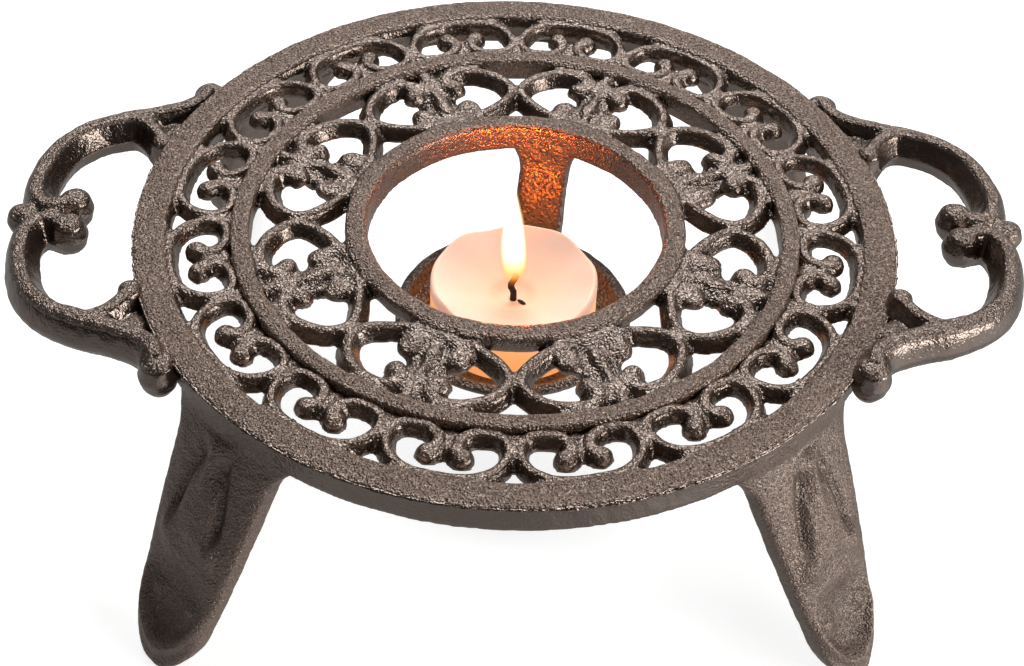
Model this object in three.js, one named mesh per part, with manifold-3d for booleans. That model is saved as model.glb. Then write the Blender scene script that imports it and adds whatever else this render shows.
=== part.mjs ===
// Cast-iron teapot warmer: a pierced scroll grate on four splayed legs, a scroll handle at
// each side, and a candle dish hung under the centre hole on one arm. Millimetres, Z up,
// feet on Z = 0, front towards -Y, handles along X.
import * as THREE from 'three';
import { mergeVertices } from 'three/addons/utils/BufferGeometryUtils.js';
import Module from 'manifold-3d';

const wasm = await Module();
wasm.setup();

const DEG = Math.PI / 180;

// Facets round the turned pieces and along a curved edge
const RIM_FACETS = 72;
const MIDDLE_FACETS = 56;
const COLLAR_FACETS = 48;
const LEG_FACETS = 96;
const DISH_FACETS = 40;
const CANDLE_FACETS = 32;
const KNOB_FACETS = 16;
const EDGE_FACETS = 6;
const SHORT_EDGE = 0.02;

// Heights of the stand
const STAND_HEIGHT = 60;
const FIT_GAP = 0.3;

// Rings of the grate and the bands of scrolls between them, from the rim inwards
const RIM_RADIUS = 82.5;
const RIM_WIDTH = 6.8;
const RIM_HEIGHT = 8;
const OUTER_BAND = 13.9;
const MIDDLE_WIDTH = 4.1;
const MIDDLE_HEIGHT = 6.4;
const INNER_BAND = 20.6;
const COLLAR_WIDTH = 4.8;
const COLLAR_HEIGHT = 7.2;
const EDGE_EASE = 0.8;

// Scrolls in the bands
const SCROLL_HEIGHT = 5;
const SCROLL_DROP = 0.8;
const SCROLL_BITE = 0.5;
const BUD_STEPS = 3;
const OUTER_SCROLLS = 16;
const OUTER_STROKE = 2.3;
const OUTER_BUD = 3.4;
const INNER_SCROLLS = 8;
const INNER_STROKE = 2.5;
const INNER_BUD = 3.8;
const STEM_WIDTH = 4.4;
const LEAF_WIDTH = 14;
const LEAF_LENGTH = 12;
const LEAF_LOBES = 5;
const LEAF_NOTCH = 0.2;
const LEAF_RAISE = 0.5;
const LEAF_STEPS = 4;

// Scroll handles
const HANDLE_OVERHANG = 27.9;
const HANDLE_DROP = 1;
const HANDLE_HEIGHT = 8.6;
const HANDLE_STROKE = 5.4;
const HANDLE_EASE = 1;
const HANDLE_KNOB = 7.4;
const HANDLE_BUD = 6.8;
const HANDLE_VOLUTE = 7;
const HANDLE_SPUR = 5.2;

// Legs
const LEG_COUNT = 4;
const LEG_THICKNESS = 6.5;
const LEG_TOP_WIDTH = 35;
const LEG_NECK_WIDTH = 27;
const LEG_ROOT = 9;
const LEG_TOE_WIDTH = 16;
const LEG_INSET = 0.4;
const LEG_SPLAY = 24.4;
const TOE_SINK = 0.8;
const VEIN_LENGTH = 27;
const VEIN_WIDTH = 3.4;
const VEIN_RAISE = 1.2;
const VEIN_SPREAD = 17 * DEG;
const VEIN_FULLEST = 0.6;
const TOE_LIP = 1.4;
const SCOOP_DEPTH = 1.4;
const SCOOP_HEIGHT = 13;
const SCOOP_WIDTH = 10.5;

// Candle dish and its arm
const DISH_RADIUS = 26.9;
const DISH_HANG = 27;
const DISH_DEPTH = 5;
const DISH_WALL = 2.6;
const DISH_FLOOR = 2.8;
const DISH_SEAT_RADIUS = 19.6;
const DISH_BASE_RADIUS = 20;
const DISH_LIP = 1.2;
const ARM_ANGLE = 78 * DEG;
const ARM_WIDTH = 11.6;
const ARM_FLARE = 16;
const ARM_THICKNESS = 5;
const ARM_FILLET = 6;
const ARM_GRIP = 5.4;

// Candle
const CANDLE_RADIUS = 18.7;
const CANDLE_HEIGHT = 14.6;
const CANDLE_LIP = 2.2;
const CANDLE_EASE = 1;
const MELT_DEPTH = 6.5;
const WICK_RADIUS = 0.75;
const WICK_STAND = 8;
const WICK_SWAY = 1;
const TAB_RADIUS = 6.2;
const TAB_THICKNESS = 0.6;
const TAB_NECK_RADIUS = 2;
const TAB_NECK_HEIGHT = 3;

const plateTop = STAND_HEIGHT;
const plateUnder = plateTop - RIM_HEIGHT;
const rimInner = RIM_RADIUS - RIM_WIDTH;
const middleOuter = rimInner - OUTER_BAND;
const middleInner = middleOuter - MIDDLE_WIDTH;
const collarOuter = middleInner - INNER_BAND;
const holeRadius = collarOuter - COLLAR_WIDTH;
const handleReach = RIM_RADIUS + HANDLE_OVERHANG;
const legHead = RIM_RADIUS - LEG_INSET;
const footRadius = legHead + LEG_SPLAY;
const scrollTop = plateTop - SCROLL_DROP;
const dishTop = plateTop - DISH_HANG;
const dishFloor = dishTop - DISH_DEPTH;

// Closed body of a geometry, ready to be joined or cut
function solid(geometry) {
  const bare = geometry.clone();
  bare.deleteAttribute('normal');
  bare.deleteAttribute('uv');
  const merged = mergeVertices(bare, 1e-4);
  return new wasm.Manifold(new wasm.Mesh({
    numProp: 3,
    vertProperties: new Float32Array(merged.attributes.position.array),
    triVerts: new Uint32Array(merged.index.array),
  }));
}

// Geometry of a joined or cut body
function shell(body) {
  const mesh = body.getMesh();
  const geometry = new THREE.BufferGeometry();
  geometry.setAttribute('position', new THREE.BufferAttribute(mesh.vertProperties, 3));
  geometry.setIndex(new THREE.BufferAttribute(mesh.triVerts, 1));
  geometry.computeVertexNormals();
  return geometry;
}

// Bodies made one, with edges too short to matter closed up
function join(bodies) {
  return bodies.reduce((whole, body) => whole.add(body)).simplify(SHORT_EDGE);
}

// Turned body: pairs of radius and height, carried round Z
function turned(profile, segments) {
  const points = profile.map(([r, z]) => new THREE.Vector2(r, z));
  return new THREE.LatheGeometry(points, segments).rotateX(Math.PI / 2);
}

// Upright prism of a plan outline
function prism(shape, bottom, height) {
  const settings = { depth: height, bevelEnabled: false, curveSegments: EDGE_FACETS };
  return new THREE.ExtrudeGeometry(shape, settings).translate(0, 0, bottom);
}

// Upright round post
function post(x, y, radius, bottom, height, segments) {
  return new THREE.CylinderGeometry(radius, radius, height, segments)
    .rotateX(Math.PI / 2)
    .translate(x, y, bottom + height / 2);
}

// Flat ring with its upper edges eased
function ring(outer, width, height, segments) {
  const inner = outer - width;
  return turned([
    [inner, plateTop - height],
    [outer, plateTop - height],
    [outer, plateTop - EDGE_EASE],
    [outer - EDGE_EASE, plateTop],
    [inner + EDGE_EASE, plateTop],
    [inner, plateTop - EDGE_EASE],
    [inner, plateTop - height],
  ], segments);
}

// Points of the half circle that closes a stroke, about its end and in the way it runs out
function roundEnd(curve, at, turn, width) {
  const p = curve.getPoint(at);
  const d = curve.getTangent(at);
  const out = Math.atan2(d.y, d.x) + turn;
  return [-45, 0, 45].map((step) => new THREE.Vector2(
    p.x + (width / 2) * Math.cos(out + step * DEG),
    p.y + (width / 2) * Math.sin(out + step * DEG),
  ));
}

// Plan outline of a stroke along a plane curve, swelling into a round bud at either end
function strokeShape(curve, width, startBud, endBud, steps) {
  const left = [];
  const right = [];
  for (let i = 0; i <= steps; i += 1) {
    const p = curve.getPoint(i / steps);
    const d = curve.getTangent(i / steps);
    const start = Math.max(0, 1 - i / BUD_STEPS) * (startBud - width);
    const end = Math.max(0, 1 - (steps - i) / BUD_STEPS) * (endBud - width);
    const half = (width + start + end) / 2;
    left.push(new THREE.Vector2(p.x - d.y * half, p.y + d.x * half));
    right.push(new THREE.Vector2(p.x + d.y * half, p.y - d.x * half));
  }
  const close = roundEnd(curve, 1, 0, endBud);
  const open = roundEnd(curve, 0, Math.PI, startBud);
  return new THREE.Shape([...right, ...close, ...left.reverse(), ...open]);
}

// Half of a scroll from the crown of its arch to the eye of its curl. Each pair is the share
// of the way to the neighbouring scroll and the share of the way from inner to outer ring.
const OUTER_HALF = [
  [0, 1], [0.56, 0.92], [0.9, 0.71], [1, 0.48], [0.89, 0.22], [0.65, 0.06], [0.39, 0],
  [0.19, 0.14], [0.13, 0.34], [0.16, 0.52], [0.27, 0.62],
];
const INNER_HALF = [
  [0, 0], [0.53, 0.06], [0.76, 0.18], [0.92, 0.38], [1, 0.61], [0.88, 0.81], [0.68, 0.94],
  [0.47, 1], [0.3, 0.92], [0.21, 0.81], [0.21, 0.7], [0.33, 0.63],
];

// One scroll centred on +X, its outer edges biting into the rings and the next scroll
function scroll(half, innerRadius, outerRadius, count, stroke, bud) {
  const reach = stroke / 2 - SCROLL_BITE;
  const low = innerRadius + reach;
  const high = outerRadius - reach;
  const place = ([side, share]) => {
    const r = low + share * (high - low);
    const angle = side * (Math.PI / count - reach / r);
    return new THREE.Vector3(r * Math.cos(angle), r * Math.sin(angle), 0);
  };
  const mirrored = half.slice(1).reverse().map(([side, share]) => [-side, share]);
  const points = [...mirrored, ...half].map(place);
  const curve = new THREE.CatmullRomCurve3(points);
  const outline = strokeShape(curve, stroke, bud, bud, points.length - 1);
  return solid(prism(outline, scrollTop - SCROLL_HEIGHT, SCROLL_HEIGHT));
}

// Stem from the middle ring, and the lobed leaf that sits on the crown of the inner scroll
function palmette() {
  const bottom = scrollTop - SCROLL_HEIGHT;
  const crown = collarOuter + INNER_STROKE / 2;
  const leafCentre = crown + (LEAF_LENGTH / 2) * (1 - 2 * LEAF_NOTCH);
  const stemFoot = leafCentre + LEAF_LENGTH / 2 - STEM_WIDTH / 2;
  const stemHead = middleInner + SCROLL_BITE;
  const stem = new THREE.Shape();
  stem.moveTo(stemHead, STEM_WIDTH / 2);
  stem.lineTo(stemFoot, STEM_WIDTH / 4);
  stem.lineTo(stemFoot, -STEM_WIDTH / 4);
  stem.lineTo(stemHead, -STEM_WIDTH / 2);
  const points = [];
  const steps = LEAF_LOBES * LEAF_STEPS;
  for (let i = 0; i < steps; i += 1) {
    const angle = (i / steps) * 2 * Math.PI;
    const lobe = 1 - LEAF_NOTCH + LEAF_NOTCH * Math.cos(LEAF_LOBES * angle);
    points.push(new THREE.Vector2(
      leafCentre + (LEAF_LENGTH / 2) * lobe * Math.cos(angle),
      (LEAF_WIDTH / 2) * lobe * Math.sin(angle),
    ));
  }
  return join([
    solid(prism(stem, bottom, SCROLL_HEIGHT)),
    solid(prism(new THREE.Shape(points), bottom, SCROLL_HEIGHT + LEAF_RAISE)),
  ]);
}

// Copies of a body spaced evenly round Z, the first half a pitch past +X
function around(body, count) {
  const pitch = (2 * Math.PI) / count;
  const base = shell(body);
  const copies = [];
  for (let i = 0; i < count; i += 1) {
    copies.push(solid(base.clone().rotateZ((i + 0.5) * pitch)));
  }
  return copies;
}

function grate() {
  const outerScroll = scroll(
    OUTER_HALF, middleOuter, rimInner, OUTER_SCROLLS, OUTER_STROKE, OUTER_BUD);
  const innerScroll = scroll(
    INNER_HALF, collarOuter, middleInner, INNER_SCROLLS, INNER_STROKE, INNER_BUD);
  return join([
    solid(ring(RIM_RADIUS, RIM_WIDTH, RIM_HEIGHT, RIM_FACETS)),
    solid(ring(middleOuter, MIDDLE_WIDTH, MIDDLE_HEIGHT, MIDDLE_FACETS)),
    solid(ring(collarOuter, COLLAR_WIDTH, COLLAR_HEIGHT, COLLAR_FACETS)),
    ...around(outerScroll, OUTER_SCROLLS),
    ...around(innerScroll.add(palmette()), INNER_SCROLLS),
  ]);
}

// Handle on the +X side: two S scrolls, mirrored, that meet at the knob. Each pair is the share
// of the way out from the rim to the knob and the degrees round the rim. A scroll runs from the
// volute on the rim to the bud inside the loop, a spur from the scroll back to the rim.
const HANDLE_HALF = [
  [0.06, 31.8], [0.03, 29], [0.1, 26.2], [0.3, 23.2], [0.54, 20.3], [0.77, 16.7],
  [0.9, 12.7], [0.94, 7.6], [0.91, 3.5], [0.78, 1.4], [0.55, 2.5],
];
const SPUR_HALF = [[0.39, 22.6], [0.24, 20.1], [0.08, 17.8]];

function handle() {
  const bottom = plateTop - HANDLE_DROP - HANDLE_HEIGHT;
  const seat = RIM_RADIUS + HANDLE_SPUR / 2;
  const knobRadius = handleReach - HANDLE_KNOB / 2;
  const bodies = [];
  for (const side of [1, -1]) {
    const place = ([share, degrees]) => {
      const r = seat + share * (knobRadius - seat);
      const angle = side * degrees * DEG;
      return new THREE.Vector3(r * Math.cos(angle), r * Math.sin(angle), 0);
    };
    const strokes = [
      [HANDLE_HALF, HANDLE_VOLUTE, HANDLE_BUD],
      [SPUR_HALF, HANDLE_STROKE, HANDLE_SPUR],
    ];
    for (const [points, startBud, endBud] of strokes) {
      const curve = new THREE.CatmullRomCurve3(points.map(place));
      const steps = 2 * (points.length - 1);
      const [width, first, last] = [HANDLE_STROKE, startBud, endBud].map((w) => w - 2 * HANDLE_EASE);
      bodies.push(solid(new THREE.ExtrudeGeometry(strokeShape(curve, width, first, last, steps), {
        depth: HANDLE_HEIGHT - 2 * HANDLE_EASE,
        bevelThickness: HANDLE_EASE,
        bevelSize: HANDLE_EASE,
        bevelSegments: 1,
      }).translate(0, 0, bottom + HANDLE_EASE)));
    }
  }
  const knob = post(knobRadius, 0, HANDLE_KNOB / 2, bottom + HANDLE_EASE, HANDLE_HEIGHT, KNOB_FACETS);
  const clear = RIM_RADIUS + FIT_GAP;
  const room = post(0, 0, clear, bottom - HANDLE_HEIGHT, 3 * HANDLE_HEIGHT, RIM_FACETS);
  return join([...bodies, solid(knob)]).subtract(solid(room)).simplify(SHORT_EDGE);
}

// Prism of an outline drawn across and upwards, running out along +X
function radialPrism(shape, from, length) {
  const settings = { depth: length, bevelEnabled: false, curveSegments: EDGE_FACETS };
  return new THREE.ExtrudeGeometry(shape, settings)
    .translate(0, 0, from)
    .rotateX(Math.PI / 2)
    .rotateZ(Math.PI / 2);
}

// Leaning conical wall that the legs are slices of, its outer face set out by an amount
function legCone(out) {
  const top = plateUnder - FIT_GAP;
  return solid(turned([
    [footRadius - LEG_THICKNESS, 0],
    [footRadius + out, 0],
    [legHead + out, top],
    [legHead - LEG_THICKNESS, top],
    [footRadius - LEG_THICKNESS, 0],
  ], LEG_FACETS));
}

// Leg along +X: filleted root, tapering flanks, round toe with a small flat on the floor,
// three leaf veins down its face and a scooped hollow above the lip of the toe
function leg() {
  const top = plateUnder - FIT_GAP;
  const toe = LEG_TOE_WIDTH / 2;
  const toeCentre = toe - TOE_SINK;
  const reach = footRadius + LEG_THICKNESS;
  const root = LEG_TOP_WIDTH / 2;
  const neck = LEG_NECK_WIDTH / 2;
  const outline = new THREE.Shape();
  outline.moveTo(root, top);
  outline.lineTo(-root, top);
  outline.quadraticCurveTo(-neck, top, -neck, top - LEG_ROOT);
  outline.lineTo(-toe, toeCentre);
  outline.absarc(0, toeCentre, toe, Math.PI, 2 * Math.PI, false);
  outline.lineTo(neck, top - LEG_ROOT);
  outline.quadraticCurveTo(neck, top, root, top);
  const blank = legCone(0).intersect(solid(radialPrism(outline, 0, reach)));
  const fullest = -VEIN_LENGTH * VEIN_FULLEST;
  const vein = new THREE.Shape();
  vein.moveTo(0, 0);
  vein.quadraticCurveTo(-VEIN_WIDTH, fullest, 0, -VEIN_LENGTH);
  vein.quadraticCurveTo(VEIN_WIDTH, fullest, 0, 0);
  const veins = [-VEIN_SPREAD, 0, VEIN_SPREAD].map((turn) => solid(
    radialPrism(vein, 0, reach).rotateX(turn).translate(0, 0, top - LEG_ROOT / 2)));
  const leaf = legCone(VEIN_RAISE).intersect(join(veins));
  const lean = LEG_SPLAY / top;
  const knuckle = (height, across, tall, out) => solid(new THREE.SphereGeometry(1, 12, 6)
    .scale(out, across, tall)
    .translate(footRadius - lean * height, 0, height));
  const scoop = knuckle(SCOOP_HEIGHT, SCOOP_WIDTH / 2, SCOOP_HEIGHT / 2, SCOOP_DEPTH);
  const lip = knuckle(toeCentre, toe - TOE_SINK / 2, toeCentre - TOE_SINK / 2, TOE_LIP);
  return join([blank, leaf]).subtract(scoop).add(lip);
}

// Outside of the dish, grown by a gap: flat base, sloping flank that bulges a little, upright lip
function dishProfile(gap) {
  const under = dishFloor - DISH_FLOOR - gap;
  const lip = dishTop - DISH_LIP;
  const r = DISH_RADIUS + gap;
  const base = DISH_BASE_RADIUS + gap;
  const flank = new THREE.QuadraticBezierCurve(
    new THREE.Vector2(base, under),
    new THREE.Vector2(base + (r - base) * 0.6, under + (lip - under) * 0.45),
    new THREE.Vector2(r, lip));
  const bend = flank.getPoints(EDGE_FACETS / 2).map((p) => [p.x, p.y]);
  return [[0, under], ...bend, [r, dishTop + gap]];
}

// Shallow round dish that carries the candle, its inside dished like its outside
function dish() {
  const inner = DISH_RADIUS - DISH_WALL;
  const hollow = new THREE.QuadraticBezierCurve(
    new THREE.Vector2(inner, dishTop),
    new THREE.Vector2((inner + DISH_SEAT_RADIUS) / 2, dishFloor + DISH_DEPTH * 0.4),
    new THREE.Vector2(DISH_SEAT_RADIUS, dishFloor));
  const bend = hollow.getPoints(EDGE_FACETS / 2).map((p) => [p.x, p.y]);
  return turned([...dishProfile(0), ...bend, [0, dishFloor]], DISH_FACETS);
}

// Arm along +X: from the collar's underside down to the dish, flared at the top
function hanger() {
  const top = plateTop - COLLAR_HEIGHT - FIT_GAP;
  const bottom = dishTop - ARM_GRIP;
  const knee = top - ARM_FILLET;
  const outside = DISH_RADIUS + ARM_THICKNESS;
  const inside = DISH_RADIUS - DISH_WALL;
  const side = new THREE.Shape();
  side.moveTo(holeRadius, top);
  side.lineTo(collarOuter, top);
  side.quadraticCurveTo(collarOuter, knee, outside, dishTop);
  side.lineTo(DISH_RADIUS + ARM_THICKNESS / 2, bottom);
  side.lineTo(inside, bottom);
  side.lineTo(inside, dishTop);
  side.quadraticCurveTo(holeRadius, knee, holeRadius, top);
  const bar = solid(new THREE.ExtrudeGeometry(side, {
    depth: ARM_FLARE, bevelEnabled: false, curveSegments: EDGE_FACETS,
  }).translate(0, 0, -ARM_FLARE / 2).rotateX(Math.PI / 2));
  const half = ARM_WIDTH / 2;
  const flare = ARM_FLARE / 2;
  const front = new THREE.Shape();
  front.moveTo(-flare, top);
  front.quadraticCurveTo(-half, top, -half, knee);
  front.lineTo(-half, bottom);
  front.lineTo(half, bottom);
  front.lineTo(half, knee);
  front.quadraticCurveTo(half, top, flare, top);
  const width = solid(radialPrism(front, 0, 2 * collarOuter));
  const room = solid(turned([...dishProfile(FIT_GAP), [0, dishTop + FIT_GAP]], 3 * DISH_FACETS));
  return bar.intersect(width).subtract(room);
}

// Candle wax with a hollow burnt into its top and a pocket below for the wick tab
function wax() {
  const bottom = dishFloor;
  const top = bottom + CANDLE_HEIGHT;
  const bowl = CANDLE_RADIUS - CANDLE_LIP;
  const bore = WICK_RADIUS + FIT_GAP;
  const melt = new THREE.QuadraticBezierCurve(
    new THREE.Vector2(bowl, top - CANDLE_EASE), new THREE.Vector2(bowl, top - MELT_DEPTH),
    new THREE.Vector2(bore, top - MELT_DEPTH));
  const hollow = melt.getPoints(EDGE_FACETS).map((p) => [p.x, p.y]);
  const neck = TAB_NECK_RADIUS + FIT_GAP;
  const tab = TAB_RADIUS + FIT_GAP;
  const tabTop = bottom + TAB_THICKNESS + FIT_GAP;
  const neckTop = tabTop + TAB_NECK_HEIGHT;
  return turned([
    [bore, neckTop],
    [neck, neckTop],
    [neck, tabTop],
    [tab, tabTop],
    [tab, bottom],
    [CANDLE_RADIUS - CANDLE_EASE, bottom],
    [CANDLE_RADIUS, bottom + CANDLE_EASE],
    [CANDLE_RADIUS, top - CANDLE_EASE],
    [CANDLE_RADIUS - CANDLE_LIP / 2, top],
    ...hollow,
    [bore, neckTop],
  ], CANDLE_FACETS);
}

function wickTab() {
  const bottom = dishFloor;
  const bore = WICK_RADIUS + FIT_GAP;
  return turned([
    [bore, bottom],
    [TAB_RADIUS, bottom],
    [TAB_RADIUS, bottom + TAB_THICKNESS],
    [TAB_NECK_RADIUS, bottom + TAB_THICKNESS],
    [TAB_NECK_RADIUS, bottom + TAB_THICKNESS + TAB_NECK_HEIGHT],
    [bore, bottom + TAB_THICKNESS + TAB_NECK_HEIGHT],
    [bore, bottom],
  ], KNOB_FACETS);
}

function wick() {
  const melt = dishFloor + CANDLE_HEIGHT - MELT_DEPTH;
  const path = new THREE.CatmullRomCurve3([
    new THREE.Vector3(0, 0, dishFloor),
    new THREE.Vector3(0, 0, melt),
    new THREE.Vector3(0, 0, melt + WICK_STAND * 0.25),
    new THREE.Vector3(WICK_SWAY, 0, melt + WICK_STAND * 0.65),
    new THREE.Vector3(-WICK_SWAY * 0.5, 0, melt + WICK_STAND),
  ]);
  const section = new THREE.Shape();
  section.absarc(0, 0, WICK_RADIUS, 0, 2 * Math.PI);
  return new THREE.ExtrudeGeometry(section, {
    steps: 12, bevelEnabled: false, extrudePath: path, curveSegments: 4,
  });
}

const warmer = new THREE.Group();
warmer.name = 'teapot_warmer';

function place(name, geometry, look, turn = 0) {
  const mesh = new THREE.Mesh(geometry, new THREE.MeshStandardMaterial(look));
  mesh.name = name;
  mesh.rotation.z = turn;
  warmer.add(mesh);
}

const IRON = { color: 0x4d423c, roughness: 0.72, metalness: 0.6 };
place('grate', shell(grate()), IRON);

const handleGeometry = shell(handle());
place('handle_right', handleGeometry, IRON);
place('handle_left', handleGeometry, IRON, Math.PI);

const legGeometry = shell(leg());
const LEG_NAMES = ['leg_rear_right', 'leg_rear_left', 'leg_front_left', 'leg_front_right'];
for (let i = 0; i < LEG_COUNT; i += 1) {
  place(LEG_NAMES[i], legGeometry, IRON, ((i + 0.5) * 2 * Math.PI) / LEG_COUNT);
}

place('dish_hanger', shell(hanger()), IRON, ARM_ANGLE);
place('candle_dish', dish(), IRON);
place('candle_wax', wax(), { color: 0xf6d3ae, roughness: 0.45, metalness: 0 });
place('wick_tab', wickTab(), { color: 0xb9b7b0, roughness: 0.4, metalness: 0.9 });
place('candle_wick', wick(), { color: 0x2a1f1a, roughness: 0.95, metalness: 0 });

export default warmer;
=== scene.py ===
"""Cast-iron teapot warmer with a lit candle: scroll grate, handles, legs, dish. Metres, Z up."""
import math

import bmesh
import bpy
import numpy as np
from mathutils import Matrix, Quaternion, Vector


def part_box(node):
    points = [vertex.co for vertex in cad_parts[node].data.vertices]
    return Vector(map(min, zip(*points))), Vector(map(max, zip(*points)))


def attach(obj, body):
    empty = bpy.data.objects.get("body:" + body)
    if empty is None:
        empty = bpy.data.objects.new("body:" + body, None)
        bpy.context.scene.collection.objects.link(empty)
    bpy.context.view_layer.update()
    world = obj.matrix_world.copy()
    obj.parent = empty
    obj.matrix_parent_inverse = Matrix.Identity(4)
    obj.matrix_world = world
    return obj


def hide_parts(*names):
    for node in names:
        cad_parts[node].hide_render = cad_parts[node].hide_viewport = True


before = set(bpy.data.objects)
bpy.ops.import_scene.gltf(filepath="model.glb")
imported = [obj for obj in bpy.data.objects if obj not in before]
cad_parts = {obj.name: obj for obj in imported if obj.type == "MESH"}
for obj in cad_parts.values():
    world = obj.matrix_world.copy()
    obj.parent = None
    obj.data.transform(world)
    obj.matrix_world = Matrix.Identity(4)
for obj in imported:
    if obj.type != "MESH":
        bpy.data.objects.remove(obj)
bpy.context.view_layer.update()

MM = 0.001
scene = bpy.context.scene
plate_low, plate_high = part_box("grate")
plate_top = plate_high.z

# Camera. It looks down on the grate from the front, a little to the left and rolled slightly,
# with the middle of the grate's top standing above the middle of the picture.
PICTURE_WIDTH = 1024
FOCAL_PIXELS = 1949
SENSOR = 36
VIEW_DISTANCE = 424.5 * MM
VIEW_ELEVATION = math.radians(41.03)
VIEW_YAW = math.radians(-1.04)
VIEW_ROLL = math.radians(1.93)
PLATE_RISE_PIXELS = 114.3
CLIP_START = 10 * MM


def placed(name, data):
    """New object with that data, linked into the scene at the origin."""
    thing = bpy.data.objects.new(name, data)
    scene.collection.objects.link(thing)
    return thing


camera_data = bpy.data.cameras.new("camera")
camera_data.sensor_width = SENSOR
camera_data.lens = FOCAL_PIXELS / PICTURE_WIDTH * SENSOR
camera_data.clip_start = CLIP_START
camera = placed("camera", camera_data)
scene.camera = camera
towards = Vector((
    math.sin(VIEW_YAW) * math.cos(VIEW_ELEVATION),
    -math.cos(VIEW_YAW) * math.cos(VIEW_ELEVATION),
    math.sin(VIEW_ELEVATION)))
aim = (-towards).to_track_quat("-Z", "Y")
dip = Quaternion((1, 0, 0), -math.atan(PLATE_RISE_PIXELS / FOCAL_PIXELS))
roll = Quaternion((0, 0, 1), VIEW_ROLL)
camera.rotation_mode = "QUATERNION"
camera.rotation_quaternion = aim @ dip @ roll
camera.location = Vector((0, 0, plate_top)) + towards * VIEW_DISTANCE

# Studio. A white floor, low light from all round that is brightest at the front right, as over a
# light table, a large soft lamp behind and above, and a small one low at the front right.
SKY_LIGHT = (0.06, 0.059, 0.058)
LOW_LIGHT = (0.48, 0.472, 0.464)
HORIZON = (-0.2, 0.1)
BRIGHT_SIDE = (0.86, -0.5, -0.1)
BRIGHT_REACH = (0.5, 0.97)
BRIGHT_SHARE = 2.7
# Lamps: place, side, power, colour
STUDIO_LAMPS = {
    "lamp_front_right": ((0.7, -0.37, 0.27), 0.42, 5, (1, 0.97, 0.94)),
    "lamp_rear": ((0.05, 0.75, 0.9), 0.95, 24, (1, 1, 1))}
FLOOR_SIDE = 6.0
FLOOR_GREY = (0.4, 0.4, 0.4, 1)
FLOOR_ROUGHNESS = 0.9
FLOOR_GLOW = 0.82


def fill(node, **inputs):
    """Sets or links inputs of a shader node, found by name with underscores for spaces, or by place
    in the list where the name is an underscore and a number."""
    for name, value in inputs.items():
        key = int(name[1:]) if name[1:].isdigit() else name.replace("_", " ")
        if isinstance(value, bpy.types.NodeSocket):
            node.id_data.links.new(value, node.inputs[key])
        else:
            node.inputs[key].default_value = value


def add_node(tree, kind, settings=None, **inputs):
    """New shader node with its properties set and its inputs filled."""
    node = tree.nodes.new(kind)
    for name, value in (settings or {}).items():
        setattr(node, name, value)
    fill(node, **inputs)
    return node


def mapped(tree, value, start=0.0, end=1.0, low=0.0, high=1.0, soft=False):
    """Value carried from the range start to end over to low to high, by a smooth step if soft."""
    kind = {"interpolation_type": "SMOOTHSTEP"} if soft else None
    return add_node(tree, "ShaderNodeMapRange", kind, Value=value, From_Min=start, From_Max=end,
                    To_Min=low, To_Max=high).outputs["Result"]


def mixed(tree, share, first, second):
    """Colour between two others by a share; each may be three numbers or a node's output."""
    first, second = ((*end, 1) if isinstance(end, tuple) else end for end in (first, second))
    return add_node(
        tree, "ShaderNodeMix", {"data_type": "RGBA"}, _0=share, _6=first, _7=second).outputs[2]


def scaled(tree, vector, share):
    """Vector or colour times a share."""
    return add_node(
        tree, "ShaderNodeVectorMath", {"operation": "SCALE"}, _0=vector, Scale=share).outputs[0]


def upright(tree, vector):
    """Z of a vector."""
    return add_node(tree, "ShaderNodeSeparateXYZ", Vector=vector).outputs["Z"]


def paint(name):
    """New material with its node tree and its shader."""
    finish = bpy.data.materials.new(name)
    finish.use_nodes = True
    return finish, finish.node_tree, finish.node_tree.nodes["Principled BSDF"]


def soft_lamp(name, place, side, power, colour):
    """Square area lamp at a place, turned to face the middle of the grate."""
    data = bpy.data.lights.new(name, "AREA")
    data.size = side
    data.energy = power
    data.color = colour
    lamp = placed(name, data)
    lamp.location = place
    lamp.rotation_mode = "QUATERNION"
    lamp.rotation_quaternion = (Vector((0, 0, plate_top)) - lamp.location).to_track_quat("-Z", "Y")


scene.view_settings.view_transform = "Standard"
world = bpy.data.worlds.new("studio")
scene.world = world
world.use_nodes = True
world_tree = world.node_tree
world_way = world_tree.nodes.new("ShaderNodeTexCoord").outputs["Generated"]
world_side = add_node(
    world_tree, "ShaderNodeVectorMath", {"operation": "DOT_PRODUCT"}, _0=world_way, _1=BRIGHT_SIDE)
world_glow = mapped(
    world_tree, world_side.outputs["Value"], *BRIGHT_REACH, 1.0, BRIGHT_SHARE, soft=True)
world_rise = mapped(world_tree, upright(world_tree, world_way), *HORIZON)
world_light = mixed(world_tree, world_rise, scaled(world_tree, LOW_LIGHT, world_glow), SKY_LIGHT)
fill(world_tree.nodes["Background"], Color=world_light)

for name, facts in STUDIO_LAMPS.items():
    soft_lamp(name, *facts)

floor_mesh = bpy.data.meshes.new("floor")
floor_corners = np.array([[-1, -1, 0], [1, -1, 0], [1, 1, 0], [-1, 1, 0]]) * FLOOR_SIDE / 2
floor_mesh.from_pydata(floor_corners.tolist(), [], [[0, 1, 2, 3]])
floor = placed("floor", floor_mesh)
floor_paint, _, floor_shader = paint("white_sweep")
fill(floor_shader, Base_Color=FLOOR_GREY, Roughness=FLOOR_ROUGHNESS, Emission_Color=(1, 1, 1, 1),
     Emission_Strength=FLOOR_GLOW)
floor_mesh.materials.append(floor_paint)
floor.visible_diffuse = False
floor.visible_glossy = False

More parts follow.
